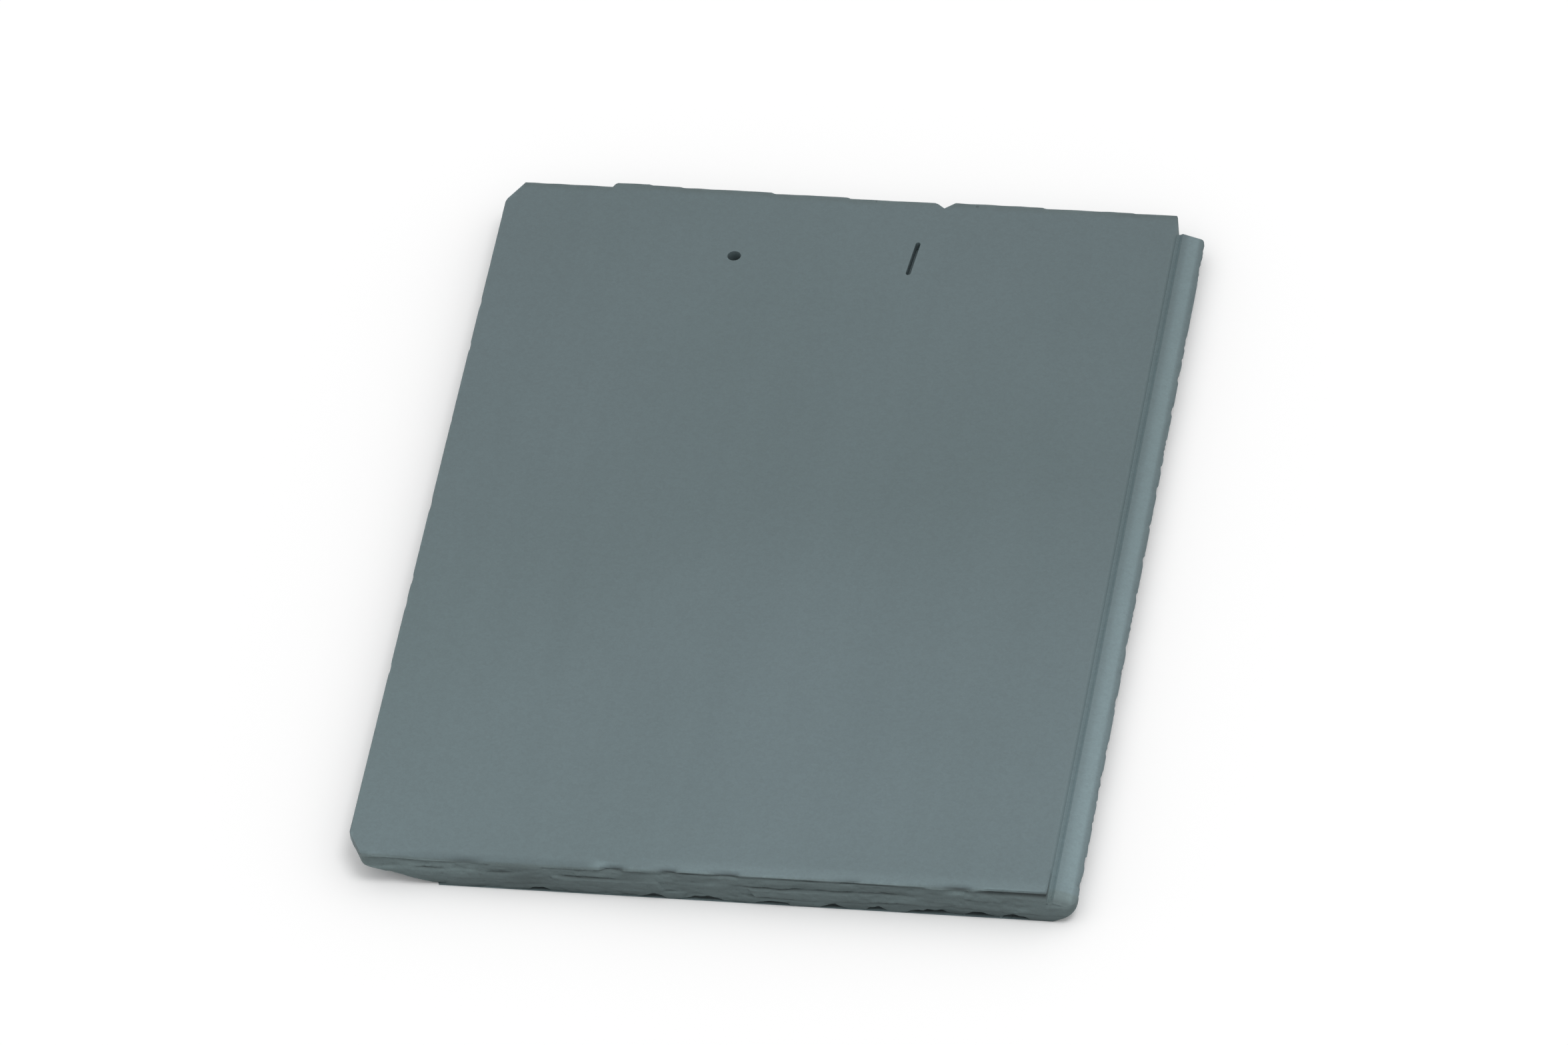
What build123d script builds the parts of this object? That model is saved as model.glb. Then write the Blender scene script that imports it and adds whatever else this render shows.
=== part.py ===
from build123d import *
import os

# Overall size of the tile, in millimetres
tile_length = 420.0
cover_width = 300.0
body_thickness = 11.5
foot_depth = 6.0
edge_round = 0.8

# Side lap, the ledge on the right and the hollow under the left edge
joint_gap = 1.5
lap_width = 10.5
lap_clearance = 0.7
ledge_drop = 5.2
ledge_fall = 3.2
ledge_head_setback = 10.0
ledge_front_corner = 6.0
ledge_head_corner = 1.5
channel_width = 2.6
channel_depth = 0.7
channel_slope = 1.2
channel_corner = 0.5

# Leading edge and the lip below it
arris_radius = 2.0
edge_batter = 1.0
lip_length = 22.0
lip_back_slope = 8.0
lip_left_start = 40.0

# Clipped corners of the left edge
clip_across = 7.5
clip_along = 13.0
front_clip_round = 4.0
head_clip_round = 1.5

# Weather bars behind the lip
bar_count = 2
bar_width = 9.0
bar_pitch = 24.0
bar_first_gap = 12.0
bar_slope = 2.0
bar_lift = 2.0

# Hanging nibs at the head
nib_width = 46.0
nib_length = 17.0
nib_seat_from_head = 26.0
nib_spacing = 168.0
nib_back_slope = 6.0
nib_side_slope = 2.5
nib_corner = 2.0

# Head edge
head_right_corner = 2.0
notch_from_left = 195.0
notch_width = 11.0
notch_depth = 4.5

# Nail hole and slit
hole_diameter = 6.0
hole_from_left = 107.0
hole_from_head = 44.0
slit_length = 21.0
slit_width = 2.2
slit_depth = 4.5
slit_from_left = 186.0
slit_from_head = 40.0
slit_lean = 5.0

# Heights and edges that follow from the sizes
tile_height = body_thickness + foot_depth
face_right = cover_width - joint_gap
tile_width = cover_width + lap_width
channel_right = face_right + channel_width
ledge_root_z = tile_height - ledge_drop
ledge_edge_z = ledge_root_z - ledge_fall
ledge_slope = ledge_fall / (tile_width - channel_right)
hollow_left_z = ledge_root_z + lap_clearance + ledge_slope * (channel_right - cover_width)
hollow_right = (hollow_left_z - foot_depth) / ledge_slope


def corner(face, x, y):
    return face.vertices().sort_by_distance((x, y, 0))[0]


def rounded(face, x, y, radius):
    return fillet(corner(face, x, y), radius)


# Front elevation, with the lip, the overlock hollow and the underlock ledge
elevation = make_face(
    Polyline(
        (0, tile_height),
        (face_right, tile_height),
        (face_right, ledge_root_z - channel_depth),
        (channel_right - channel_slope, ledge_root_z - channel_depth),
        (channel_right, ledge_root_z),
        (tile_width, ledge_edge_z),
        (tile_width, foot_depth),
        (cover_width, 0),
        (lip_left_start, 0),
        (hollow_right, foot_depth),
        (0, hollow_left_z),
        close=True,
    )
)
elevation = rounded(elevation, face_right, ledge_root_z - channel_depth, channel_corner)
elevation = rounded(elevation, channel_right - channel_slope, ledge_root_z - channel_depth, channel_corner)
elevation = rounded(elevation, channel_right, ledge_root_z, channel_corner)
elevation = rounded(elevation, 0, tile_height, edge_round)
elevation = rounded(elevation, face_right, tile_height, edge_round)
elevation = rounded(elevation, tile_width, ledge_edge_z, edge_round)

# Side view along the slope, with the rounded leading edge, the lip and the weather bars
bar_start = lip_length + lip_back_slope + bar_first_gap
side_points = [(0, tile_height), (0, foot_depth), (edge_batter, 0)]
side_points.append((lip_length, 0))
side_points.append((lip_length + lip_back_slope, foot_depth))
for bar in range(bar_count):
    bar_front = bar_start + bar * bar_pitch
    side_points.append((bar_front, foot_depth))
    side_points.append((bar_front + bar_slope, bar_lift))
    side_points.append((bar_front + bar_width - bar_slope, bar_lift))
    side_points.append((bar_front + bar_width, foot_depth))
side_points.append((tile_length, foot_depth))
side_points.append((tile_length, tile_height))
side = make_face(Polyline(*side_points, close=True))
side = rounded(side, 0, tile_height, arris_radius)
side = rounded(side, edge_batter, 0, edge_round)
side = rounded(side, tile_length, tile_height, edge_round)

# Plan outline, with the clipped corners, the shorter ledge and the notch in the head
plan = make_face(
    Polyline(
        (0, clip_along),
        (clip_across, 0),
        (tile_width, 0),
        (tile_width, tile_length - ledge_head_setback),
        (face_right, tile_length - ledge_head_setback),
        (face_right, tile_length),
        (notch_from_left + notch_width / 2, tile_length),
        (notch_from_left, tile_length - notch_depth),
        (notch_from_left - notch_width / 2, tile_length),
        (clip_across, tile_length),
        (0, tile_length - clip_along),
        close=True,
    )
)
plan = rounded(plan, 0, clip_along, front_clip_round)
plan = rounded(plan, clip_across, 0, front_clip_round)
plan = rounded(plan, tile_width, 0, ledge_front_corner)
plan = rounded(plan, tile_width, tile_length - ledge_head_setback, ledge_head_corner)
plan = rounded(plan, face_right, tile_length, head_right_corner)
plan = rounded(plan, clip_across, tile_length, head_clip_round)
plan = rounded(plan, 0, tile_length - clip_along, head_clip_round)

# Body where the three outlines meet
front_plane = Plane(origin=(0, tile_length, 0), x_dir=(1, 0, 0), z_dir=(0, -1, 0))
side_plane = Plane(origin=(0, 0, 0), x_dir=(0, 1, 0), z_dir=(1, 0, 0))
body = extrude(front_plane * elevation, amount=tile_length)
body = body & extrude(side_plane * side, amount=tile_width)
body = body & extrude(plan, amount=tile_height)

# Nibs that hook over the batten
nib_seat = tile_length - nib_seat_from_head
nib_side = make_face(
    Polyline(
        (nib_seat, foot_depth),
        (nib_seat, 0),
        (nib_seat + nib_length - nib_back_slope, 0),
        (nib_seat + nib_length, foot_depth),
        close=True,
    )
)
nib_front = make_face(
    Polyline(
        (-nib_width / 2, foot_depth),
        (-nib_width / 2 + nib_side_slope, 0),
        (nib_width / 2 - nib_side_slope, 0),
        (nib_width / 2, foot_depth),
        close=True,
    )
)
nib_front = rounded(nib_front, -nib_width / 2 + nib_side_slope, 0, nib_corner)
nib_front = rounded(nib_front, nib_width / 2 - nib_side_slope, 0, nib_corner)
nib = Pos(-nib_width / 2, 0, 0) * extrude(side_plane * nib_side, amount=nib_width)
nib = nib & extrude(front_plane * nib_front, amount=tile_length)
nib_middle = (hollow_right + cover_width) / 2
tile = body + Pos(nib_middle - nib_spacing / 2, 0, 0) * nib
tile = tile + Pos(nib_middle + nib_spacing / 2, 0, 0) * nib

# Nail hole through the head and the blind slit beside it
hole = Cylinder(hole_diameter / 2, tile_height * 2)
tile = tile - Pos(hole_from_left, tile_length - hole_from_head, tile_height / 2) * hole
slit = extrude(SlotOverall(slit_length, slit_width, rotation=90 - slit_lean), amount=slit_depth)
tile = tile - Pos(slit_from_left, tile_length - slit_from_head, tile_height - slit_depth) * slit

# Origin in the middle of the footprint, on the floor
tile = Pos(-tile_width / 2, -tile_length / 2, 0) * tile

os.makedirs("parts", exist_ok=True)
export_step(tile, "parts/roof_tile.step")
print("volume in cubic millimetres", round(tile.volume))
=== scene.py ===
import math
import random
from bisect import bisect_right

import bmesh
import bpy
from mathutils import Matrix, Vector, noise


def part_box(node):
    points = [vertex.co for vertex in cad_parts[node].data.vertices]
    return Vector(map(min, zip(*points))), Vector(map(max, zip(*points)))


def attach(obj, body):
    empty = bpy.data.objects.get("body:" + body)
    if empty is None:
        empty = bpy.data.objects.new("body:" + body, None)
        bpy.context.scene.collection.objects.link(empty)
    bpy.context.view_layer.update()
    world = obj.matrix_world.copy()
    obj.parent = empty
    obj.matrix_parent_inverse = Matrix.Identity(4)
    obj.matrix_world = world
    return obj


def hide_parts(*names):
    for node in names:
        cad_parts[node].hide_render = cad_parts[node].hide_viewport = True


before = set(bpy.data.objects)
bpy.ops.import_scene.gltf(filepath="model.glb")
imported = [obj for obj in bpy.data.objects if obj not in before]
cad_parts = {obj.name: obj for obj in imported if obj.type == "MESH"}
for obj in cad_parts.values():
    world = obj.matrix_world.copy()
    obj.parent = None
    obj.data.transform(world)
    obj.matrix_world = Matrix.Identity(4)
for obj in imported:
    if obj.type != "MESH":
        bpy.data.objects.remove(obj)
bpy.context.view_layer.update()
tileLow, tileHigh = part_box("roof_tile")
mm = 0.001
cutSnap = 0.000001  # metres, points this close to a cut lie on it
nearlyNone = 0.001  # mm
facing = 0.5  # share of a normal from which a face looks that way
tileWidth, tileLength, tileHeight = (tileHigh - tileLow) / mm
print("frame loaded, tile of", round(tileWidth, 1), round(tileLength, 1), round(tileHeight, 1), "mm")


def deselectAll():
    if bpy.context.mode != "OBJECT":
        bpy.ops.object.mode_set(mode="OBJECT")
    bpy.ops.object.select_all(action="DESELECT")


def pickOnly(piece):
    deselectAll()
    piece.select_set(True)
    bpy.context.view_layer.objects.active = piece


def ramp(low, high, value):  # 0 below low, 1 above high, eased between
    t = min(max((value - low) / (high - low), 0.0), 1.0)
    return t * t * (3 - 2 * t)


def wander(a, b, c):  # soft noise from -1 to 1
    return noise.noise((a, b, c))


def hump(away):  # 1 in the middle, soft to both sides
    return math.exp(-away * away)


def ripple(values, along, row=0.0):  # noise along a line: size, length and two places in the noise
    size, length, pick, level = values
    return size * wander(along / length, pick + row, level)


def mottle(values, along, across):  # noise over a face: size, two lengths and a place in the noise
    size, length, width, level = values
    return size * wander(along / length, across / width, level)


# mm, x from the left edge, y from the leading edge, z from the floor
tileForm = {
    # cells and rows of the mesh; cellX keeps the cuts clear of the lip's left start
    "cellX": 4.92, "cellY": 8.0, "shortEdge": 0.6, "rowRoom": 1.0, "close": 0.1, "weld": 0.01,
    "frontBand": 10.0, "frontRowZ": 0.5, "frontRowY": 0.75, "frontCuts": 8,
    "headBand": 11.0, "headRowZ": 2.5, "headRowY": 1.5, "headCuts": 4,
    "sideRows": (1.6, 2.8, 295.8, 296.9, 302.6, 304.4, 306.2, 307.8, 309.2),
    "sideBand": 3.0, "stepBand": 1.0, "sideCuts": 4,
    "flatAngle": 0.5, "smoothAngle": 50.0,
    # moulded form
    "faceRight": 298.5, "ledgeRoot": 301.1, "ledgeDrop": 5.2, "ledgeFall": 8.4, "ledgeCorner": 6.0,
    "ledgeFlat": (0.54, 0.185, -0.573),
    "arrisRadius": 2.0, "arrisFrom": (7.0, 11.0), "edgeRound": 0.8,
    "clipAcross": 7.5, "clipAlong": 13.0, "notchDepth": 4.5,
}


def tilePlace(point):
    return (point - tileLow) / mm


def steps(start, stop, pitch):
    count = int((stop - start) / pitch)
    return [start + pitch * number for number in range(1, count + 1)]


def cutRows(axis, places):  # planes through all faces that aren't hidden
    normal = Vector((0, 0, 0))
    normal[axis] = 1
    for place in places:
        bpy.ops.mesh.select_all(action="SELECT")
        bpy.ops.mesh.bisect(plane_co=tileLow + normal * place * mm, plane_no=normal, threshold=cutSnap)


def planeOff(first, second, along, sink=0.02):  # takes a rounding back to one flat between its two lines
    start, end = Vector(first), Vector(second)
    normal = (end - start).cross(Vector(along)).normalized()
    bpy.ops.mesh.select_all(action="SELECT")
    bpy.ops.mesh.bisect(
        plane_co=tileLow + (start - normal * sink) * mm, plane_no=normal,
        use_fill=True, clear_outer=True, threshold=cutSnap)


def selectFaces(piece, test):
    bpy.ops.mesh.select_mode(type="FACE")
    bpy.ops.mesh.select_all(action="DESELECT")
    shape = bmesh.from_edit_mesh(piece.data)
    for face in shape.faces:
        face.select = test(face, tilePlace(face.calc_center_median()))
    bmesh.update_edit_mesh(piece.data)


def showOnly(piece, test):  # hides all other faces, until they are revealed
    selectFaces(piece, test)
    bpy.ops.mesh.hide(unselected=True)


def splitWideFaces(piece):  # faces of more than four corners become triangles
    selectFaces(piece, lambda face, at: len(face.verts) > 4)
    bpy.ops.mesh.quads_convert_to_tris(ngon_method="BEAUTY")


def cutEdges(piece, axis, cuts, shortest, test, straight=0.9):  # divides the edges that run along one axis
    bpy.ops.mesh.select_mode(type="EDGE")
    bpy.ops.mesh.select_all(action="DESELECT")
    shape = bmesh.from_edit_mesh(piece.data)
    for edge in shape.edges:
        run = edge.verts[1].co - edge.verts[0].co
        middle = tilePlace((edge.verts[0].co + edge.verts[1].co) / 2)
        seen = any(face.normal.z > -facing for face in edge.link_faces)
        along = abs(run[axis]) > straight * run.length and run.length > shortest * mm
        edge.select = seen and along and test(middle)
    bmesh.update_edit_mesh(piece.data)
    bpy.ops.mesh.subdivide(number_cuts=cuts)


def divideTile(form):
    piece = bpy.data.objects.new("concreteTile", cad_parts["roof_tile"].data.copy())
    bpy.context.scene.collection.objects.link(piece)
    pickOnly(piece)
    bpy.ops.object.mode_set(mode="EDIT")
    bpy.ops.mesh.select_all(action="SELECT")
    bpy.ops.mesh.remove_doubles(threshold=form["weld"] * mm)
    bpy.ops.mesh.dissolve_limited(angle_limit=math.radians(form["flatAngle"]))
    bpy.ops.mesh.customdata_custom_splitnormals_clear()

    # long roundings become flats, so that the rows on them come out even
    top, radius, small, right = tileHeight, form["arrisRadius"], form["edgeRound"], form["faceRight"]
    room, close, short = form["rowRoom"], form["close"], form["shortEdge"]
    planeOff((0, 0, top - radius), (0, radius, top), (-1, 0, 0))
    planeOff((0, 0, top - small), (small, 0, top), (0, 1, 0))
    planeOff((0, tileLength, top - small), (0, tileLength - small, top), (1, 0, 0))
    inward, upper, lower = form["ledgeFlat"]
    outer = top - form["ledgeFall"]
    planeOff((tileWidth, 0, outer + lower), (tileWidth - inward, 0, outer + upper), (0, -1, 0))
    showOnly(piece, lambda face, at: all(tilePlace(vert.co).x < right + close for vert in face.verts))
    planeOff((right, 0, top - small), (right - small, 0, top), (0, -1, 0))
    bpy.ops.mesh.reveal(select=False)

    # cells over the whole tile
    front, headLine = form["frontBand"], tileLength - form["headBand"]
    cutRows(0, steps(0, right - room, form["cellX"]))
    cutRows(0, form["sideRows"])
    cutRows(1, [front] + steps(front, headLine - room, form["cellY"]) + [headLine])
    cutRows(1, steps(headLine, tileLength - room, form["headRowY"]))

    # fine rows on the leading edge, wider ones on the head
    showOnly(piece, lambda face, at: at.y < front and face.normal.z > -facing)
    cutRows(2, steps(0, top - close, form["frontRowZ"]))
    cutRows(1, steps(radius, front - close, form["frontRowY"]))
    showOnly(piece, lambda face, at: at.x > right and not face.hide)
    cutRows(1, steps(0, radius, form["frontRowZ"]))
    bpy.ops.mesh.reveal(select=False)
    showOnly(piece, lambda face, at: at.y > headLine and face.normal.y > facing)
    cutRows(2, steps(0, top - room, form["headRowZ"]))
    bpy.ops.mesh.reveal(select=False)
    splitWideFaces(piece)

    def onSide(at):
        nearEdge = at.x < form["sideBand"] or at.x > tileWidth - form["sideBand"]
        nearStep = abs(at.x - right) < form["stepBand"] and at.z > top - form["stepBand"]
        return front < at.y < headLine and (nearEdge or nearStep)

    cutEdges(piece, 0, form["frontCuts"], short, lambda at: at.y < front - close)
    cutEdges(piece, 0, form["headCuts"], short, lambda at: at.y > headLine + close)
    cutEdges(piece, 1, form["sideCuts"], short, onSide)
    splitWideFaces(piece)
    bpy.ops.object.mode_set(mode="OBJECT")
    print("tile divided into", len(piece.data.polygons), "faces")
    return piece


def roundArris(piece, form):  # the flat on the leading edge back to its true round
    radius = form["arrisRadius"]
    foot = tileHeight - radius
    for vertex in piece.data.vertices:
        at = tilePlace(vertex.co)
        if at.y < radius and at.z > foot and at.x < form["faceRight"]:
            spoke = Vector((at.y - radius, at.z - foot))
            reach = ramp(*form["arrisFrom"], at.x) * (radius / max(spoke.length, form["close"]) - 1)
            spoke *= 1 + reach
            at.y, at.z = radius + spoke.x, foot + spoke.y
            vertex.co = tileLow + at * mm
    piece.data.update()


# riven leading edge, mm; rise runs up the front, over the arris and on to the top face
rivenEdge = {
    "seed": 41, "deepest": 2.8,
    # beds and their flakes, with open grooves between the beds and painted shade in them
    "bedLines": (4.8, 10.2), "bedSteps": (3.7, 9.1, 5.3), "bedHeight": 5.0, "bedSoft": 0.45,
    "bedDrift": (1.4, 46.0, 0.0, 0.4), "bedJitter": (0.45, 8.0, 0.0, 2.6),
    "firstFlake": (20.0, 60.0), "flakeLength": 30.0, "flakeSpread": (0.45, 1.7),
    "flakeInset": (0.15, 1.0), "flakeLean": 0.3, "flakeTilt": 0.7, "flakeSlant": 0.5, "breakWidth": 1.6,
    "grooveDepth": 0.9, "grooveWidth": 0.5, "grooveShade": 0.5,
    "grooveRun": (1.0, 24.0, 0.0, 7.9), "grooveOpen": (-0.1, 0.4),
    "coarse": (0.7, 9.0, 3.2, 5.1), "pits": (0.45, 3.2, 1.9, 3.4), "fine": (0.07, 1.5, 1.1, 1.7),
    # where the relief ends: at the arris, the band's end, the left corner, the right end and the ledge
    "rivenTop": (-0.6, 1.2), "arrisCalm": 0.9, "arrisFade": (-1.0, 0.8), "bandFade": (-3.0, -0.8),
    "cornerShare": 0.15, "cornerEnd": (5.0, 18.0), "rightCalm": 0.75, "rightFade": (-14.0, -2.0),
    "ledgeFrom": (0.2, 1.5),
    # gaps along the foot, with painted shade inside: middle and half width
    "footGaps": (
        (82, 5.0), (131, 6.0), (153, 10.0), (182, 8.0), (207, 6.0),
        (226, 4.5), (247, 10.0), (269, 6.5), (285, 7.0)),
    "gapDepth": 1.6, "gapRise": 2.6, "gapSoft": 0.4, "gapLip": 0.1, "gapShade": 0.85,
    "gapRagged": (0.35, 4.0, 0.0, 0.0), "gapUneven": (0.4, 3.0, 7.3, 0.0),
    # open line under the arris, with painted shade in it, crisp at its right end
    "lineFrom": (115.0, 150.0), "lineLift": 0.4, "lineDepth": 1.3, "lineWidth": 0.65, "lineShade": 0.65,
    "lineWave": (0.6, 30.0, 2.2, 0.0), "lineJitter": (0.25, 7.0, 6.4, 0.0),
    "lineRun": (1.0, 22.0, 8.5, 0.0), "lineOpen": (-0.4, 0.2),
    "crispFrom": (264.0, 276.0), "crispDrop": 0.35, "crispCalm": 0.7, "crispWide": 1.2, "crispDeep": 0.7,
    # worn, rounder left part of the arris
    "softFrom": (8.0, 36.0), "softTo": (98.0, 124.0), "softAlong": 4.0, "softDown": 7.5,
    # chips out of the arris: middle, half width and depth; painted shade along their foot
    "chips": (
        (115, 4.5, 1.9), (139, 3.2, 1.3), (164, 5.0, 1.6),
        (262, 5.5, 1.1), (52, 6.0, 0.5), (216, 4.0, 0.6)),
    "chipHeight": 2.8, "chipLeft": 0.7, "chipRagged": (0.5, 3.0, 0.0, 0.0),
    "chipDark": 1.2, "chipNarrow": 1.1, "chipShadeLift": 0.2, "chipShadeTall": 1.7,
    # painted highlights on small facets, and darker spots: middle, half width, drop below the crest, half
    # height and strength
    "facets": (
        (109, 3.6, -1.1, 2.0, 1.0), (133, 3.5, 2.6, 1.3, 0.8),
        (157, 7.0, 6.0, 3.0, 0.25), (178, 6.0, 3.0, 1.2, 0.35),
        (208, 8.0, 3.4, 1.6, 0.35), (238, 7.0, 9.0, 2.0, 0.4),
        (261, 5.0, 3.2, 1.4, 1.0), (291, 9.0, 8.0, 4.5, 0.35)),
    "darkSpots": ((78, 12.0, 9.0, 4.5, 0.32), (235, 8.0, 6.0, 1.4, 0.3), (182, 8.0, 7.0, 2.0, 0.2)),
    "paleLeft": 0.35, "paleLeftEnd": (38.0, 66.0), "paleRise": (2.0, 9.0), "paleTop": (-1.5, 0.5),
    # painted highlight: a paler strip on the top face along the arris
    "arrisHighlight": 0.22, "arrisHighlightMiddle": 2.5, "arrisHighlightWidth": 4.5, "arrisHighlightFade": (-4.0, 0.0),
}


def softened(at, form, riven):  # the worn left part of the arris, a rounder quarter than the moulded one
    worn = ramp(*riven["softFrom"], at.x) * (1 - ramp(*riven["softTo"], at.x))
    deep = form["arrisRadius"] + riven["softAlong"] * worn
    tall = form["arrisRadius"] + riven["softDown"] * worn
    across, up = (at.y - deep) / deep, (at.z - tileHeight + tall) / tall
    reach = math.hypot(across, up)
    if across > 0 or up < 0 or reach < 1:
        return at.copy()
    return Vector((at.x, deep + across / reach * deep, tileHeight - tall + up / reach * tall))


def layFlakes(riven):
    draw = random.Random(riven["seed"])
    beds = []
    for bed in range(len(riven["bedLines"]) + 1):
        starts, insets, leans, tilts = [], [], [], []
        x = -draw.uniform(*riven["firstFlake"])
        while x < tileWidth:
            starts.append(x)
            insets.append(draw.uniform(*riven["flakeInset"]))
            leans.append(draw.uniform(-1, 1) * riven["flakeLean"])
            tilts.append(draw.uniform(-1, 1) * riven["flakeTilt"])
            x += draw.uniform(*riven["flakeSpread"]) * riven["flakeLength"]
        beds.append((starts, insets, leans, tilts))
    return beds


def upTheEdge(y, z, form):
    radius = form["arrisRadius"]
    foot = tileHeight - radius
    if z < foot:
        return z
    if y < radius:
        return foot + radius * math.atan2(z - foot, radius - y)
    return foot + radius * math.pi / 2 + y - radius


def flakeDepth(x, rise, bed, riven, beds):
    starts, insets, leans, tilts = beds[bed]
    x += riven["flakeSlant"] * rise * (1 if bed % 2 else -1)  # flakes end on a slant
    cell = max(bisect_right(starts, x) - 1, 1)
    into = x - starts[cell]
    upper = (rise - (0.0, *riven["bedLines"])[bed]) / riven["bedHeight"] - 0.5
    here = insets[cell] + leans[cell] * (into / riven["flakeLength"] - 0.5) + tilts[cell] * upper
    before = insets[cell - 1] + leans[cell - 1] * 0.5 + tilts[cell - 1] * upper
    return before + (here - before) * ramp(0, riven["breakWidth"], into)


def bedDepth(x, rise, riven, beds):
    depth = below = flakeDepth(x, rise, 0, riven, beds)
    shade = 0.0
    driftStep, jitterStep, openStep = riven["bedSteps"]
    for number, height in enumerate(riven["bedLines"]):
        line = height + ripple(riven["bedDrift"], x, number * driftStep)
        line += ripple(riven["bedJitter"], x, number * jitterStep)
        above = flakeDepth(x, rise, number + 1, riven, beds)
        depth += (above - below) * ramp(line - riven["bedSoft"], line + riven["bedSoft"], rise)
        below = above
        opened = ramp(*riven["grooveOpen"], ripple(riven["grooveRun"], x, number * openStep))
        groove = opened * hump((rise - line) / riven["grooveWidth"])
        depth += riven["grooveDepth"] * groove
        # painted shade in the open grooves
        shade = max(shade, groove * riven["grooveShade"])
    depth += max(0.0, mottle(riven["coarse"], x, rise)) + max(0.0, mottle(riven["pits"], x, rise))
    depth += riven["fine"][0] + mottle(riven["fine"], x, rise)
    return depth, shade


def gapShare(x, rise, riven):  # gaps along the foot, and the painted shade inside them
    opened = 0.0
    for middle, half in riven["footGaps"]:
        across = (x - middle) / half + ripple(riven["gapRagged"], x, middle)
        opened = max(opened, 1 - across * across)
    top = riven["gapRise"] * opened * (1 + ripple(riven["gapUneven"], x))
    return math.sqrt(opened) * (1 - ramp(riven["gapSoft"] * top, top + riven["gapLip"], rise))


def spotShare(spots, x, above):  # the strongest of some soft spots, placed from the crest of the arris
    return max(
        strength * hump((x - middle) / half) * hump((above + drop) / tall)
        for middle, half, drop, tall, strength in spots)


def paleShare(x, rise, above, riven):  # painted highlights on small facets, and painted light low on the worn left end
    pale = riven["paleLeft"] * (1 - ramp(*riven["paleLeftEnd"], x)) * ramp(*riven["paleRise"], rise)
    pale *= 1 - ramp(*riven["paleTop"], above)
    return max(pale, spotShare(riven["facets"], x, above))


def lineDepth(x, rise, foot, riven):  # the thin open line under the arris, and the painted shade in it
    crisp = ramp(*riven["crispFrom"], x)
    line = foot + riven["lineLift"] - riven["crispDrop"] * crisp
    line += (1 - riven["crispCalm"] * crisp) * ripple(riven["lineWave"], x) + ripple(riven["lineJitter"], x)
    opened = max(ramp(*riven["lineOpen"], ripple(riven["lineRun"], x)), crisp) * ramp(*riven["lineFrom"], x)
    width = riven["lineWidth"] * (1 + riven["crispWide"] * crisp)
    gap = opened * hump((rise - line) / width)
    shade = riven["lineShade"] + (1 - riven["lineShade"]) * crisp
    return riven["lineDepth"] * gap * (1 + riven["crispDeep"] * crisp), gap * shade


def chipDepth(x, above, riven):  # chips out of the arris, with painted shade along their foot
    depth = shade = 0.0
    for middle, half, deep in riven["chips"]:
        across = (x - middle) / half
        across *= 1.0 if across > 0 else riven["chipLeft"]
        along = (above + ripple(riven["chipRagged"], x, middle)) / riven["chipHeight"]
        depth += deep * max(0.0, 1 - across * across) * max(0.0, 1 - along * along)
        dark = min(deep / riven["chipDark"], 1.0) * hump(across * riven["chipNarrow"])
        shade = max(shade, dark * hump((above - riven["chipShadeLift"]) / riven["chipShadeTall"]))
    return depth, shade


def outward(at, form):  # the way the leading edge faces, round its corners and over the arris
    aside = Vector((0, -1))
    if at.x < form["clipAcross"] and at.y < form["clipAlong"]:
        aside = Vector((-form["clipAlong"], -form["clipAcross"])).normalized()
    ledgeX, ledgeY = tileWidth - form["ledgeCorner"], form["ledgeCorner"]
    if at.x > ledgeX and at.y < ledgeY:
        aside = Vector((at.x - ledgeX, at.y - ledgeY)).normalized()
    radius = form["arrisRadius"]
    lean = 0.0
    if at.z >= tileHeight - radius:
        lean = math.atan2(at.z - tileHeight + radius, max(radius - at.y, nearlyNone))
    return Vector((aside.x * math.cos(lean), aside.y * math.cos(lean), math.sin(lean)))
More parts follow.
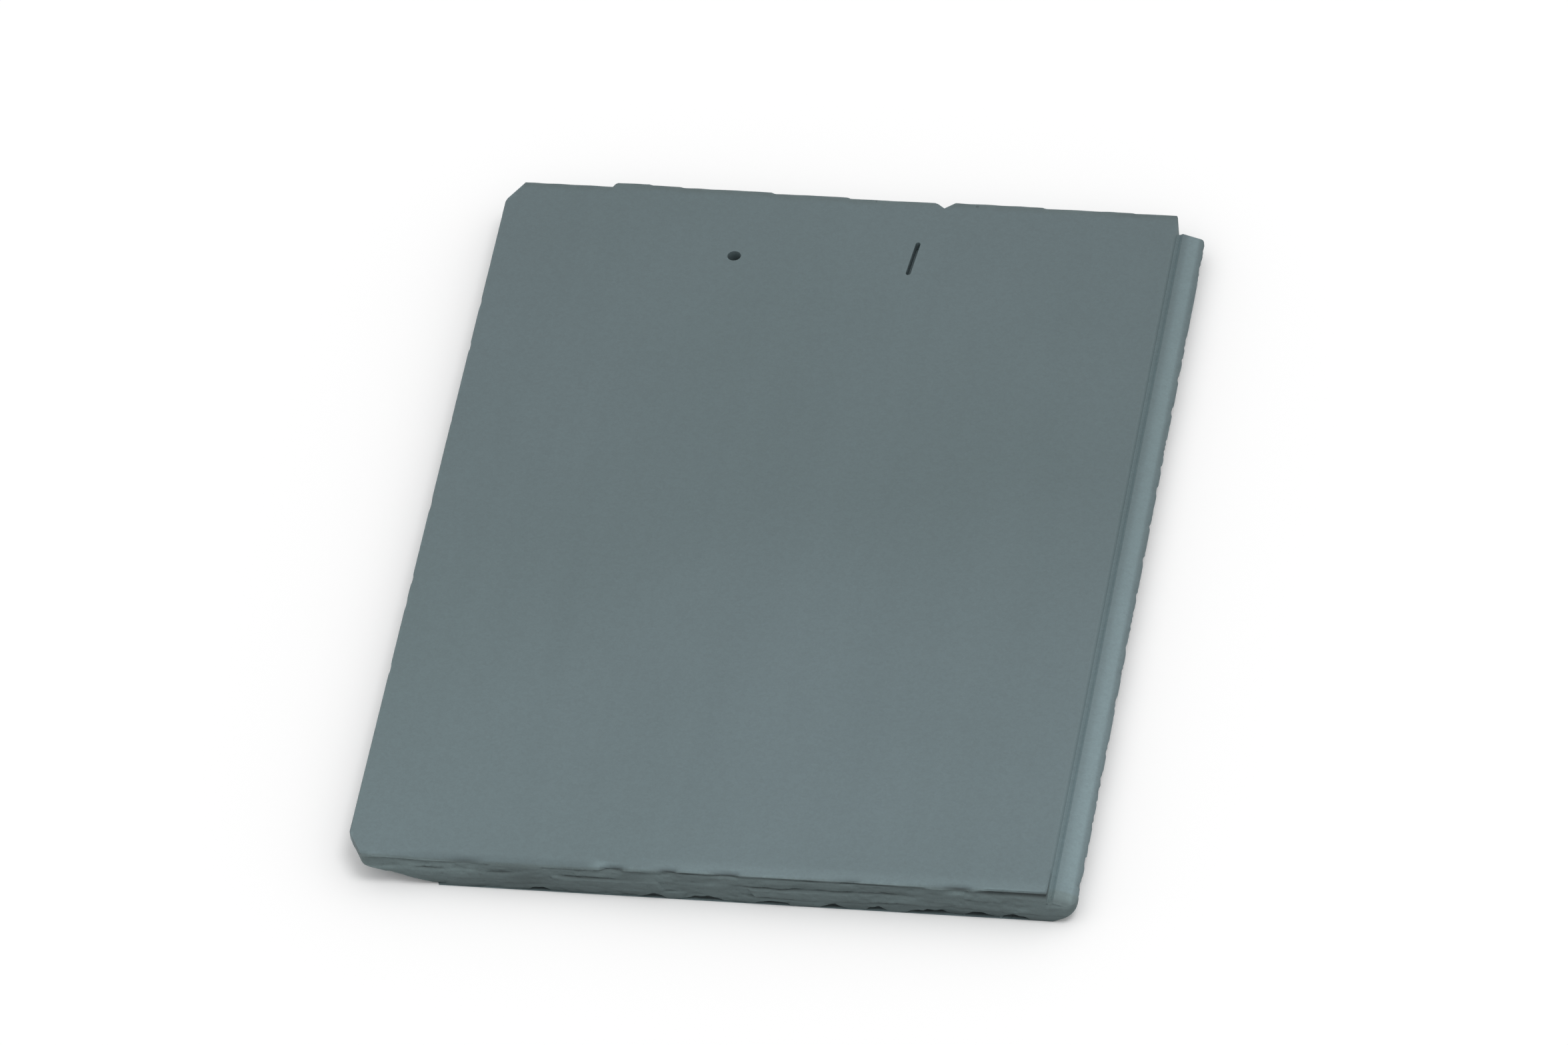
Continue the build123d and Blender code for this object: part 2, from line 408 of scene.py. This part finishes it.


# wear of the ledge, the head and the sides, mm, and the shares of bare concrete and painted light
edgeWear = {
    # front edge of the ledge, rounded off
    "ledgeSoft": 1.3, "ledgeSoftReach": 1.8,
    # steps of the head edge: start and inset
    "headSteps": (
        (0, 2.8), (46, 0.1), (62, 0.8), (76, 1.3), (117, 2.1),
        (151, 2.8), (190, 2.2), (238, 2.8), (278, 3.1)),
    "headBreak": 1.6, "headLean": (1.5, 5.0, 1.9, 0.0), "headRough": (0.25, 6.0, 3.0, 9.4),
    "headFrom": 1.0, "headBare": 0.7, "headBareFrom": (-5.0, -1.5),
    "clipFade": (1.0, 6.0), "clipBand": 25.0, "clipRoom": 0.5,
    # chips along the left edge, the step and the ledge, and the rough outer edge of the ledge
    "sideChip": 0.3, "sideFade": (0.8, 2.4), "stepFade": (-0.9, -0.2), "stepTop": (-1.2, -0.7),
    "stepShare": 0.5, "ledgeShare": 0.8,
    "chipRun": (1.0, 9.0, 5.0, 3.3), "chipOpen": (0.3, 0.6), "chipFine": (0.12, 3.0, 2.0, 6.1),
    "ledgeRough": 0.7, "ledgeRun": (1.0, 7.0, 6.0, 2.8), "ledgeFine": (0.5, 2.4, 2.0, 5.6),
    "ledgeOpen": (-0.05, 0.5),
    # painted light on the step's wall and in the channel, painted shade at the ledge's root and outer rim, a
    # pale ledge that is partly bare concrete and partly painted light, and bare concrete below
    "wallLight": 0.35, "wallFrom": (1.5, 5.0),
    "channelLight": 0.55, "channelRise": (1.3, 1.6), "channelEnd": 2.45,
    "rootLight": 0.5, "rootFade": 0.3, "rootEnd": (3.1, 7.0), "ledgeFrom": (0.8, 7.0),
    "rimShade": 0.8, "rimFade": (1.0, 2.8), "belowBare": 0.6,
    # slow waves in the top face, and how near the top a point is on it
    "faceWave": 0.22, "waves": ((1.0, 75.0, 75.0, 0.7), (0.3, 19.0, 24.0, 4.5)), "topSlack": 0.02,
    # the bend of the mesh is read only where the mesh is fine: x from the left, and short of the step
    "fineTo": 2.5, "stepRoom": 2.6,
    # z of a normal below which a face is flat underneath, plain, or bare
    "flatBelow": -0.85, "plainBelow": -0.6, "bareFacing": -0.4,
}


def ledgeFrontWear(at, form, wear):
    fall = (form["ledgeFall"] - form["ledgeDrop"]) / (tileWidth - form["ledgeRoot"])
    edge = tileHeight - form["ledgeDrop"] - fall * max(at.x - form["ledgeRoot"], 0.0)
    return wear["ledgeSoft"] * hump((max(edge - at.z, 0.0) + at.y) / wear["ledgeSoftReach"])


def carveFront(at, form, wear, riven, beds):
    foot = tileHeight - form["arrisRadius"]
    crest = foot + form["arrisRadius"] * math.pi / 4
    rise = upTheEdge(at.y, at.z, form)
    above, beyond = rise - crest, at.x - form["faceRight"]
    offLedge = 1 - ramp(*riven["ledgeFrom"], beyond)
    share = 1 - ramp(*riven["rivenTop"], above)
    corner = riven["cornerShare"] + (1 - riven["cornerShare"]) * ramp(*riven["cornerEnd"], at.x)
    calm = corner * (1 - riven["rightCalm"] * ramp(*riven["rightFade"], beyond))
    depth, shade = bedDepth(at.x, rise, riven, beds)
    gap = gapShare(at.x, rise, riven)
    depth = share * calm * (depth + riven["gapDepth"] * gap)
    depth *= 1 - riven["arrisCalm"] * ramp(*riven["arrisFade"], rise - foot)
    # painted shade in grooves, foot gaps, the line under the arris and chips, with darker spots
    shade = max(shade * share * calm, riven["gapShade"] * gap, spotShare(riven["darkSpots"], at.x, above))
    line, dark = lineDepth(at.x, rise, foot, riven)
    chip, hollow = chipDepth(at.x, above, riven)
    depth += (line + corner * chip) * offLedge
    fade = 1 - ramp(*riven["bandFade"], at.y - form["frontBand"])
    facingOut = outward(at, form)
    if beyond > form["close"]:
        worn = ledgeFrontWear(at, form, wear)
        depth += worn
        facingOut.z += min(worn, 1.0)
        facingOut.normalize()
    place = softened(at, form, riven) - facingOut * fade * min(max(depth, 0.0), riven["deepest"])
    # painted highlights on facets and on the worn left end
    pale = paleShare(at.x, rise, above, riven) * fade * offLedge
    return place, share * fade, max(shade, max(dark, hollow) * offLedge), pale


def onHead(at, form, wear):  # the clipped corner reaches further down than the rest of the head edge
    wide = at.x > form["clipAcross"] + wear["clipFade"][1]
    return at.y > tileLength - (form["headBand"] if wide else wear["clipBand"])


def carveHead(at, form, wear):
    starts, insets = zip(*wear["headSteps"])
    x = at.x + ripple(wear["headLean"], at.z)
    cell = max(bisect_right(starts, x) - 1, 0)
    before = insets[max(cell - 1, 0)]
    step = before + (insets[cell] - before) * ramp(0, wear["headBreak"], x - starts[cell])
    step += wear["headRough"][0] + mottle(wear["headRough"], at.x, at.z)
    headLine, clipLine = tileLength - form["headBand"], tileLength - form["clipAlong"]
    share = ramp(headLine + wear["headFrom"], tileLength - form["notchDepth"], at.y)
    clipped = 1 - ramp(*wear["clipFade"], at.x - form["clipAcross"])
    clipped *= ramp(tileLength - wear["clipBand"], clipLine - wear["clipRoom"], at.y)
    at.y -= max(share, clipped) * max(step, 0.0)
    return at, wear["headBare"] * ramp(*wear["headBareFrom"], at.y + step - tileLength)


def carveSides(at, normal, form, wear):
    leftEdge = 1 - ramp(*wear["sideFade"], at.x)
    stepEdge = ramp(*wear["stepFade"], at.x - form["faceRight"]) * ramp(*wear["stepTop"], at.z - tileHeight)
    ledgeEdge = 1 - ramp(*wear["sideFade"], tileWidth - at.x)
    edge = max(leftEdge, wear["stepShare"] * stepEdge, wear["ledgeShare"] * ledgeEdge)
    chip = ramp(*wear["chipOpen"], mottle(wear["chipRun"], at.y, at.x))
    chip += wear["chipFine"][0] + mottle(wear["chipFine"], at.y, at.z)
    broken = mottle(wear["ledgeRun"], at.y, at.z) + mottle(wear["ledgeFine"], at.y, at.z)
    rough = wear["ledgeRough"] * ledgeEdge * ramp(*wear["ledgeOpen"], broken)
    return at - normal * (edge * wear["sideChip"] * chip + rough)


def ledgeLightAndBare(at, form, wear):  # painted light on the step's wall and channel, painted shade at the root and outer rim, and the pale ledge, partly bare concrete and partly painted light
    beyond = at.x - form["faceRight"]
    if at.z > tileHeight - form["stepBand"]:
        return wear["wallLight"] * ramp(*wear["wallFrom"], at.y)
    if beyond < wear["channelEnd"]:
        channel = wear["channelLight"] + (1 - wear["channelLight"]) * ramp(*wear["channelRise"], beyond)
        return channel * ramp(*wear["wallFrom"], at.y)
    root = wear["rootLight"] - wear["rootFade"] * at.y / tileLength
    bareLit = root + (1 - root) * ramp(*wear["rootEnd"], beyond)
    rim = wear["rimShade"] * (1 - ramp(*wear["rimFade"], tileWidth - at.x))
    return bareLit * ramp(*wear["ledgeFrom"], at.y) * (1 - rim)


def carveTile(piece, form, wear, riven):
    beds = layFlakes(riven)
    front, right, headLine = form["frontBand"], form["faceRight"], tileLength - form["headBand"]
    places, rivenShare, bareLitShare, fineShare, lineShare = [], [], [], [], []
    for vertex in piece.data.vertices:
        at = tilePlace(vertex.co)
        normal = vertex.normal.copy()
        share = bareLit = dark = 0.0
        coarse = front < at.y < headLine and at.x > wear["fineTo"]
        coarse = coarse or at.x > right - wear["stepRoom"] or normal.z < wear["plainBelow"]
        fineShare.append(0.0 if coarse else 1.0)
        onTop = at.x < right and at.z > tileHeight - wear["topSlack"]
        if at.x > right - form["close"]:
            bareLit = ledgeLightAndBare(at, form, wear)
        if onTop and at.y < front:
            # painted highlight on the top face along the arris
            bareLit = riven["arrisHighlight"] * hump((at.y - riven["arrisHighlightMiddle"]) / riven["arrisHighlightWidth"])
            bareLit *= ramp(*riven["lineFrom"], at.x) * (1 - ramp(*riven["arrisHighlightFade"], at.y - front))
        if normal.z < wear["bareFacing"]:
            bareLit = wear["belowBare"]
        if at.y < front and normal.z > wear["flatBelow"]:
            at, share, dark, pale = carveFront(at, form, wear, riven, beds)
            bareLit = max(bareLit, pale)
        elif onHead(at, form, wear):
            at, share = carveHead(at, form, wear)
        elif normal.z > wear["flatBelow"]:
            at = carveSides(at, normal, form, wear)
        if onTop:
            wave = sum(mottle(values, at.x, at.y) for values in wear["waves"])
            at.z -= wear["faceWave"] * min(max(0.5 + 0.5 * wave, 0.0), 1.0)
        places.extend(tileLow + at * mm)
        rivenShare.append(share)
        bareLitShare.append(bareLit)
        lineShare.append(dark)
    piece.data.vertices.foreach_set("co", places)
    piece.data.update()
    return {"rivenFace": rivenShare, "bareAndPaintedLight": bareLitShare, "paintedShadeAndSpots": lineShare, "fineMesh": fineShare}


def bendOfEdges(piece, passes=2):  # below 0 on outer edges, above 0 in grooves
    shape = bmesh.new()
    shape.from_mesh(piece.data)
    bends, rings = [], []
    for vertex in shape.verts:
        others = [edge.other_vert(vertex) for edge in vertex.link_edges]
        spokes = [other.co - vertex.co for other in others]
        reach = sum(spoke.length for spoke in spokes)
        bends.append(sum(spoke.dot(vertex.normal) for spoke in spokes) / max(reach, cutSnap))
        rings.append([other.index for other in others])
    for again in range(passes):
        bends = [
            0.5 * bend + 0.5 * sum(bends[other] for other in ring) / len(ring)
            for bend, ring in zip(bends, rings)
        ]
    shape.free()
    return bends


def storeShares(piece, shares):
    for name, values in shares.items():
        layer = piece.data.attributes.new(name, "FLOAT", "POINT")
        layer.data.foreach_set("value", values)


tile = divideTile(tileForm)
roundArris(tile, tileForm)
shares = carveTile(tile, tileForm, edgeWear, rivenEdge)
fine = shares.pop("fineMesh")
shares["edgeBend"] = [bend * kept for bend, kept in zip(bendOfEdges(tile), fine)]
storeShares(tile, shares)
pickOnly(tile)
bpy.ops.object.shade_smooth_by_angle(angle=math.radians(tileForm["smoothAngle"]))
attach(tile, "root")
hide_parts("roof_tile")
print("tile carved,", len(tile.data.vertices), "points")


def addNode(tree, kind, place, values=None, **settings):
    node = tree.nodes.new(kind)
    node.location = place
    for name, value in settings.items():
        setattr(node, name, value)
    for name, value in (values or {}).items():
        node.inputs[name].default_value = value
    return node


def mapValue(tree, source, place, fromLow, fromHigh, toLow, toHigh):
    node = addNode(tree, "ShaderNodeMapRange", place, {
        "From Min": fromLow, "From Max": fromHigh, "To Min": toLow, "To Max": toHigh,
    })
    tree.links.new(source, node.inputs["Value"])
    return node.outputs["Result"]


def mathOf(tree, operation, first, second, place):
    node = addNode(tree, "ShaderNodeMath", place, operation=operation)
    for socket, value in zip(node.inputs, (first, second)):
        if isinstance(value, float):
            socket.default_value = value
        else:
            tree.links.new(value, socket)
    return node.outputs["Value"]


def mixOf(tree, factor, first, second, place):  # colour between two, each a colour or a socket
    node = addNode(tree, "ShaderNodeMix", place, data_type="RGBA")
    colourSockets = [socket for socket in node.inputs if socket.type == "RGBA"]
    for socket, value in zip(colourSockets, (first, second)):
        if isinstance(value, tuple):
            socket.default_value = value
        else:
            tree.links.new(value, socket)
    tree.links.new(factor, node.inputs["Factor"])
    return next(socket for socket in node.outputs if socket.type == "RGBA")


def startGroup(name, inputs, outputs):
    group = bpy.data.node_groups.new(name, "ShaderNodeTree")
    for label, kind in inputs:
        group.interface.new_socket(label, in_out="INPUT", socket_type=kind)
    for label in outputs:
        group.interface.new_socket(label, in_out="OUTPUT", socket_type="NodeSocketFloat")
    entry = addNode(group, "NodeGroupInput", (-800, 0))
    leave = addNode(group, "NodeGroupOutput", (600, 0))
    return group, entry, leave


# patterns in the concrete; a range is the stretch of the noise that is drawn out to 0 and 1
concretePatterns = {
    "grit": {"Detail": 3.0, "Roughness": 0.6}, "gritRange": (0.25, 0.75), "gritShare": 0.62,
    "grainCoarse": 0.62,
    "cloudScale": 8.0, "tintScale": 4.5, "tintStretch": (1.0, 0.8, 1.0), "dragStretch": (95.0, 4.0, 20.0),
    "cloudRange": (0.22, 0.78),
    "holePatches": {"Scale": 34.0, "Detail": 2.0}, "holeRange": (0.42, 0.6),
    "streakStretch": (60.0, 60.0, 430.0), "streaks": {"Scale": 1.0, "Detail": 4.0, "Roughness": 0.6},
    "streakRange": (0.3, 0.7),
    "dashes": {"Scale": 62.0, "Detail": 2.0}, "dashRange": (0.42, 0.58), "dashLeast": 0.5,
    "wornHighlightPatches": {"Scale": 210.0, "Detail": 4.0, "Roughness": 0.65},
    "wornHighlightRange": (0.35, 0.65), "wornHighlightLeast": 0.25,
    "outerBend": (-0.03, -0.22), "innerBend": (0.03, 0.25),
}


def makeSandGrain(patterns):  # sand in the mix, as a tone and a height
    group, entry, leave = startGroup(
        "sandGrain", (("Vector", "NodeSocketVector"), ("Scale", "NodeSocketFloat")), ("Tone", "Height"))
    grit = addNode(group, "ShaderNodeTexNoise", (-500, 150), patterns["grit"])
    grains = addNode(group, "ShaderNodeTexVoronoi", (-500, -150))
    wide = mathOf(group, "MULTIPLY", entry.outputs["Scale"], patterns["grainCoarse"], (-650, -200))
    group.links.new(entry.outputs["Vector"], grit.inputs["Vector"])
    group.links.new(entry.outputs["Vector"], grains.inputs["Vector"])
    group.links.new(entry.outputs["Scale"], grit.inputs["Scale"])
    group.links.new(wide, grains.inputs["Scale"])
    split = addNode(group, "ShaderNodeSeparateColor", (-300, -100))
    group.links.new(grains.outputs["Color"], split.inputs["Color"])
    gritShare = patterns["gritShare"]
    gritTone = mapValue(group, grit.outputs["Fac"], (-300, 200), *patterns["gritRange"], 0.0, gritShare)
    grainTone = mapValue(group, split.outputs["Red"], (-100, -100), 0.0, 1.0, 0.0, 1 - gritShare)
    tone = mathOf(group, "ADD", gritTone, grainTone, (150, 100))
    group.links.new(tone, leave.inputs["Tone"])
    group.links.new(grit.outputs["Fac"], leave.inputs["Height"])
    return group


def makeCastClouds(patterns):  # slow change of tone over the tile and faint drag marks along it
    group, entry, leave = startGroup(
        "castClouds", (("Vector", "NodeSocketVector"),), ("Cloud", "Tint", "Drag"))
    for label, scale, detail, stretch, row in (
        ("Cloud", patterns["cloudScale"], 4.0, (1.0, 1.0, 1.0), 150),
        ("Tint", patterns["tintScale"], 2.0, patterns["tintStretch"], 0),
        ("Drag", 1.0, 3.0, patterns["dragStretch"], -150),
    ):
        stretched = addNode(group, "ShaderNodeMapping", (-550, row), {"Scale": stretch})
        soft = addNode(group, "ShaderNodeTexNoise", (-350, row), {"Scale": scale, "Detail": detail})
        group.links.new(entry.outputs["Vector"], stretched.inputs["Vector"])
        group.links.new(stretched.outputs["Vector"], soft.inputs["Vector"])
        evened = mapValue(group, soft.outputs["Fac"], (-100, row), *patterns["cloudRange"], 0.0, 1.0)
        group.links.new(evened, leave.inputs[label])
    return group


def makePinHoles(patterns):  # air bubbles left in the concrete, the mask for painted shade in them
    sockets = ("Vector", "NodeSocketVector"), ("Scale", "NodeSocketFloat"), ("Size", "NodeSocketFloat")
    group, entry, leave = startGroup("pinHoles", sockets, ("Holes",))
    cells = addNode(group, "ShaderNodeTexVoronoi", (-500, 100))
    patches = addNode(group, "ShaderNodeTexNoise", (-500, -150), patterns["holePatches"])
    for target in (cells, patches):
        group.links.new(entry.outputs["Vector"], target.inputs["Vector"])
    group.links.new(entry.outputs["Scale"], cells.inputs["Scale"])
    split = addNode(group, "ShaderNodeSeparateColor", (-300, 0))
    group.links.new(cells.outputs["Color"], split.inputs["Color"])
    chosen = mathOf(group, "MULTIPLY", split.outputs["Green"], patches.outputs["Fac"], (-150, 0))
    held = mapValue(group, chosen, (0, 0), *patterns["holeRange"], 0.0, 1.0)
    reach = mathOf(group, "MULTIPLY", entry.outputs["Size"], held, (150, -50))
    inside = mathOf(group, "LESS_THAN", cells.outputs["Distance"], reach, (300, 0))
    group.links.new(inside, leave.inputs["Holes"])
    return group


def makeRivenStreaks(patterns):  # level streaks on the broken edge, and dashes that break up the painted shade along its foot
    group, entry, leave = startGroup("rivenStreaks", (("Vector", "NodeSocketVector"),), ("Streak", "Dash"))
    stretched = addNode(group, "ShaderNodeMapping", (-550, 0), {"Scale": patterns["streakStretch"]})
    streaks = addNode(group, "ShaderNodeTexNoise", (-350, 0), patterns["streaks"])
    group.links.new(entry.outputs["Vector"], stretched.inputs["Vector"])
    group.links.new(stretched.outputs["Vector"], streaks.inputs["Vector"])
    evened = mapValue(group, streaks.outputs["Fac"], (-100, 0), *patterns["streakRange"], 0.0, 1.0)
    group.links.new(evened, leave.inputs["Streak"])
    dashes = addNode(group, "ShaderNodeTexNoise", (-350, -250), patterns["dashes"])
    group.links.new(entry.outputs["Vector"], dashes.inputs["Vector"])
    least = patterns["dashLeast"]
    dashed = mapValue(group, dashes.outputs["Fac"], (-100, -250), *patterns["dashRange"], least, 1.0)
    group.links.new(dashed, leave.inputs["Dash"])
    return group


def makeEdgeTones(patterns):  # outer edges lighter, as wear and as painted highlight, and painted shade in grooves, from the bend of the mesh
    group, entry, leave = startGroup(
        "edgeTones", (("Vector", "NodeSocketVector"), ("Bend", "NodeSocketFloat")), ("WornAndHighlight", "Groove"))
    patches = addNode(group, "ShaderNodeTexNoise", (-500, 150), patterns["wornHighlightPatches"])
    group.links.new(entry.outputs["Vector"], patches.inputs["Vector"])
    outer = mapValue(group, entry.outputs["Bend"], (-300, 0), *patterns["outerBend"], 0.0, 1.0)
    inner = mapValue(group, entry.outputs["Bend"], (-300, -250), *patterns["innerBend"], 0.0, 1.0)
    least = patterns["wornHighlightLeast"]
    broken = mapValue(group, patches.outputs["Fac"], (-300, 250), *patterns["wornHighlightRange"], least, 1.0)
    worn = mathOf(group, "MULTIPLY", outer, broken, (0, 100))
    group.links.new(worn, leave.inputs["WornAndHighlight"])
    group.links.new(inner, leave.inputs["Groove"])
    return group


concreteLook = {
    "greenGrey": (0.12, 0.1665, 0.1745, 1), "blueGrey": (0.1235, 0.167, 0.18, 1),
    "rivenGrey": (0.122, 0.164, 0.167, 1),
    "cloudTone": 0.05, "dragTone": 0.018, "grainTone": 0.1,
    "frontTone": 1.085, "headTone": 0.9, "paleLength": 0.294,
    "bareLitTone": 1.55, "wornHighlightTone": 1.3, "grooveTone": 0.5, "holeTone": 0.55,
    "lineTone": 0.26, "footTone": 0.62, "footHeight": 0.003, "streakHigh": 1.0, "streakLow": 0.76,
    "grainScale": 1050.0, "holeScale": 190.0, "holeSize": 0.17,
    "roughLow": 0.62, "roughHigh": 0.8,
    "bumpStrength": 0.45, "bumpDistance": 0.00035, "faceGrain": 0.45, "rivenGrain": 1.3, "holeSink": -1.5,
    "faceGroove": 0.3,
}


def makeConcrete(look, patterns):
    material = bpy.data.materials.new("slateGreyConcrete")
    material.use_nodes = True
    tree = material.node_tree
    shader = tree.nodes["Principled BSDF"]
    shader.location = (1500, 0)
    tree.nodes["Material Output"].location = (1800, 0)
    place = addNode(tree, "ShaderNodeTexCoord", (-1200, 0)).outputs["Object"]
    riven, bareLit, bend, line = (
        addNode(tree, "ShaderNodeAttribute", (-1200, -200 - 180 * row), attribute_name=name).outputs["Fac"]
        for row, name in enumerate(("rivenFace", "bareAndPaintedLight", "edgeBend", "paintedShadeAndSpots"))
    )

    def useGroup(group, x, y, values=None):
        node = addNode(tree, "ShaderNodeGroup", (x, y), values, node_tree=group)
        tree.links.new(place, node.inputs["Vector"])
        return node

    grain = useGroup(makeSandGrain(patterns), -900, 500, {"Scale": look["grainScale"]})
    clouds = useGroup(makeCastClouds(patterns), -900, 250)
    holes = useGroup(makePinHoles(patterns), -900, 0, {"Scale": look["holeScale"], "Size": look["holeSize"]})
    edges = useGroup(makeEdgeTones(patterns), -900, -250)
    streaks = useGroup(makeRivenStreaks(patterns), -900, -1000)
    tree.links.new(bend, edges.inputs["Bend"])

    # paler towards the leading edge
    axes = addNode(tree, "ShaderNodeSeparateXYZ", (-900, -500))
    tree.links.new(place, axes.inputs["Vector"])
    run = addNode(tree, "ShaderNodeMapRange", (-700, -500), {
        "From Min": tileLow.y, "From Max": tileLow.y + look["paleLength"],
    }, interpolation_type="SMOOTHSTEP")
    tree.links.new(axes.outputs["Y"], run.inputs["Value"])
    # painted shade along the foot of the leading edge, darkest at the floor and broken into dashes
    footTop = tileLow.z + look["footHeight"]
    nearFloor = mapValue(tree, axes.outputs["Z"], (-700, -700), tileLow.z, footTop, 1.0, 0.0)
    foot = mathOf(tree, "MULTIPLY", nearFloor, riven, (-500, -700))
    paintedFootShade = mathOf(tree, "MULTIPLY", foot, streaks.outputs["Dash"], (-350, -700))
    streaked = mathOf(tree, "MULTIPLY", streaks.outputs["Streak"], riven, (-500, -1000))

    rough = mathOf(tree, "MAXIMUM", riven, bareLit, (-700, -250))
    # painted shade in the pin holes
    pitted = mathOf(tree, "MULTIPLY", holes.outputs["Holes"], rough, (-650, 0))
    # painted shade in grooves, weaker on the top face
    deep = mapValue(tree, riven, (-900, -700), 0.0, 1.0, look["faceGroove"], 1.0)
    shaded = mathOf(tree, "MULTIPLY", edges.outputs["Groove"], deep, (-650, -350))
    tones = (
        (clouds.outputs["Cloud"], 1 - look["cloudTone"], 1 + look["cloudTone"]),
        (clouds.outputs["Drag"], 1 - look["dragTone"], 1 + look["dragTone"]),
        (grain.outputs["Tone"], 1 - look["grainTone"], 1 + look["grainTone"]),
        (run.outputs["Result"], look["frontTone"], look["headTone"]),
        # bare concrete, and painted light and highlights
        (bareLit, 1.0, look["bareLitTone"]),
        # wear and painted highlight on outer edges
        (edges.outputs["WornAndHighlight"], 1.0, look["wornHighlightTone"]),
        # painted shade in grooves
        (shaded, 1.0, look["grooveTone"]),
        # painted shade in pin holes
        (pitted, 1.0, look["holeTone"]),
        # painted shade in grooves, gaps, lines and chips, and darker spots
        (line, 1.0, look["lineTone"]),
        # painted shade along the foot
        (paintedFootShade, 1.0, look["footTone"]),
        (streaked, look["streakHigh"], look["streakLow"]),
    )
    tone = None
    for row, (source, low, high) in enumerate(tones):
        spot = (60 * row - 200, 600 - 220 * row)
        part = mapValue(tree, source, (-450, spot[1]), 0.0, 1.0, low, high)
        tone = part if tone is None else mathOf(tree, "MULTIPLY", tone, part, spot)

    tint = mixOf(tree, clouds.outputs["Tint"], look["greenGrey"], look["blueGrey"], (300, 500))
    broken = mixOf(tree, riven, tint, look["rivenGrey"], (550, 500))
    colour = addNode(tree, "ShaderNodeVectorMath", (850, 400), operation="SCALE")
    tree.links.new(broken, colour.inputs["Vector"])
    tree.links.new(tone, colour.inputs["Scale"])
    tree.links.new(colour.outputs["Vector"], shader.inputs["Base Color"])

    gloss = mapValue(tree, grain.outputs["Tone"], (850, 100), 0.0, 1.0, look["roughLow"], look["roughHigh"])
    tree.links.new(gloss, shader.inputs["Roughness"])

    sunk = mathOf(tree, "MULTIPLY", pitted, look["holeSink"], (600, -150))
    lively = mapValue(tree, riven, (600, -350), 0.0, 1.0, look["faceGrain"], look["rivenGrain"])
    sand = mathOf(tree, "MULTIPLY", grain.outputs["Height"], lively, (850, -250))
    height = mathOf(tree, "ADD", sand, sunk, (1050, -200))
    bump = addNode(tree, "ShaderNodeBump", (1250, -200), {
        "Strength": look["bumpStrength"], "Distance": look["bumpDistance"],
    })
    tree.links.new(height, bump.inputs["Height"])
    tree.links.new(bump.outputs["Normal"], shader.inputs["Normal"])
    return material


tile.data.materials.clear()
tile.data.materials.append(makeConcrete(concreteLook, concretePatterns))
print("concrete on the tile")


studio = {
    "azimuth": 13.03, "elevation": 43.99, "roll": -5.98, "distance": 5.75, "lens": 307.4,
    "aim": (0.0, 0.0, 0.019),
    "worldLevel": 0.8, "sunLevel": 0.7, "sunFrom": (0.3, -0.15, 0.94), "sunAngle": 25.0,
    "clipEnd": 100.0, "floorSize": 30.0, "floorWhite": (1, 1, 1, 1), "floorBounce": (0.35, 0.35, 0.35, 1),
}


def placeCamera(values):
    turn = math.radians(values["azimuth"])
    tip = math.radians(values["elevation"])
    roll = math.radians(values["roll"])
    back = Vector((math.sin(turn) * math.cos(tip), -math.cos(turn) * math.cos(tip), math.sin(tip)))
    level = Vector((math.cos(turn), math.sin(turn), 0))
    upright = back.cross(level)
    right = level * math.cos(roll) + upright * math.sin(roll)
    up = upright * math.cos(roll) - level * math.sin(roll)
    bpy.ops.object.camera_add()
    camera = bpy.context.active_object
    camera.name = "photoCamera"
    camera.data.lens = values["lens"]
    camera.data.clip_end = values["clipEnd"]
    stand = Matrix((right, up, back)).transposed().to_4x4()
    stand.translation = Vector(values["aim"]) + back * values["distance"]
    camera.matrix_world = stand
    bpy.context.scene.camera = camera


def hangSun(values):
    bpy.ops.object.light_add(type="SUN", location=(0, 0, 3))
    lamp = bpy.context.active_object
    lamp.name = "softKey"
    lamp.data.energy = values["sunLevel"]
    lamp.data.angle = math.radians(values["sunAngle"])
    lamp.rotation_euler = (-Vector(values["sunFrom"])).to_track_quat("-Z", "Y").to_euler()


def layFloor(values):
    bpy.ops.mesh.primitive_plane_add(size=values["floorSize"], location=(0, 0, 0))
    floor = bpy.context.active_object
    floor.name = "paleFloor"
    material = bpy.data.materials.new("paleFloorPaint")
    material.use_nodes = True
    tree = material.node_tree
    shader = tree.nodes["Principled BSDF"]
    shader.inputs["Roughness"].default_value = 1.0
    shader.inputs["Specular IOR Level"].default_value = 0.0
    path = addNode(tree, "ShaderNodeLightPath", (-700, 0))
    seen = mathOf(tree, "MAXIMUM", path.outputs["Is Camera Ray"], path.outputs["Is Glossy Ray"], (-450, 0))
    paint = mixOf(tree, seen, values["floorBounce"], values["floorWhite"], (-250, 0))
    tree.links.new(paint, shader.inputs["Base Color"])
    floor.data.materials.append(material)


def lightWorld(values):
    world = bpy.data.worlds.new("studioWorld")
    world.use_nodes = True
    background = world.node_tree.nodes["Background"]
    background.inputs["Color"].default_value = (1, 1, 1, 1)
    background.inputs["Strength"].default_value = values["worldLevel"]
    bpy.context.scene.world = world


deselectAll()
placeCamera(studio)
hangSun(studio)
layFloor(studio)
lightWorld(studio)
bpy.context.scene.view_settings.view_transform = "Standard"
print("studio ready")
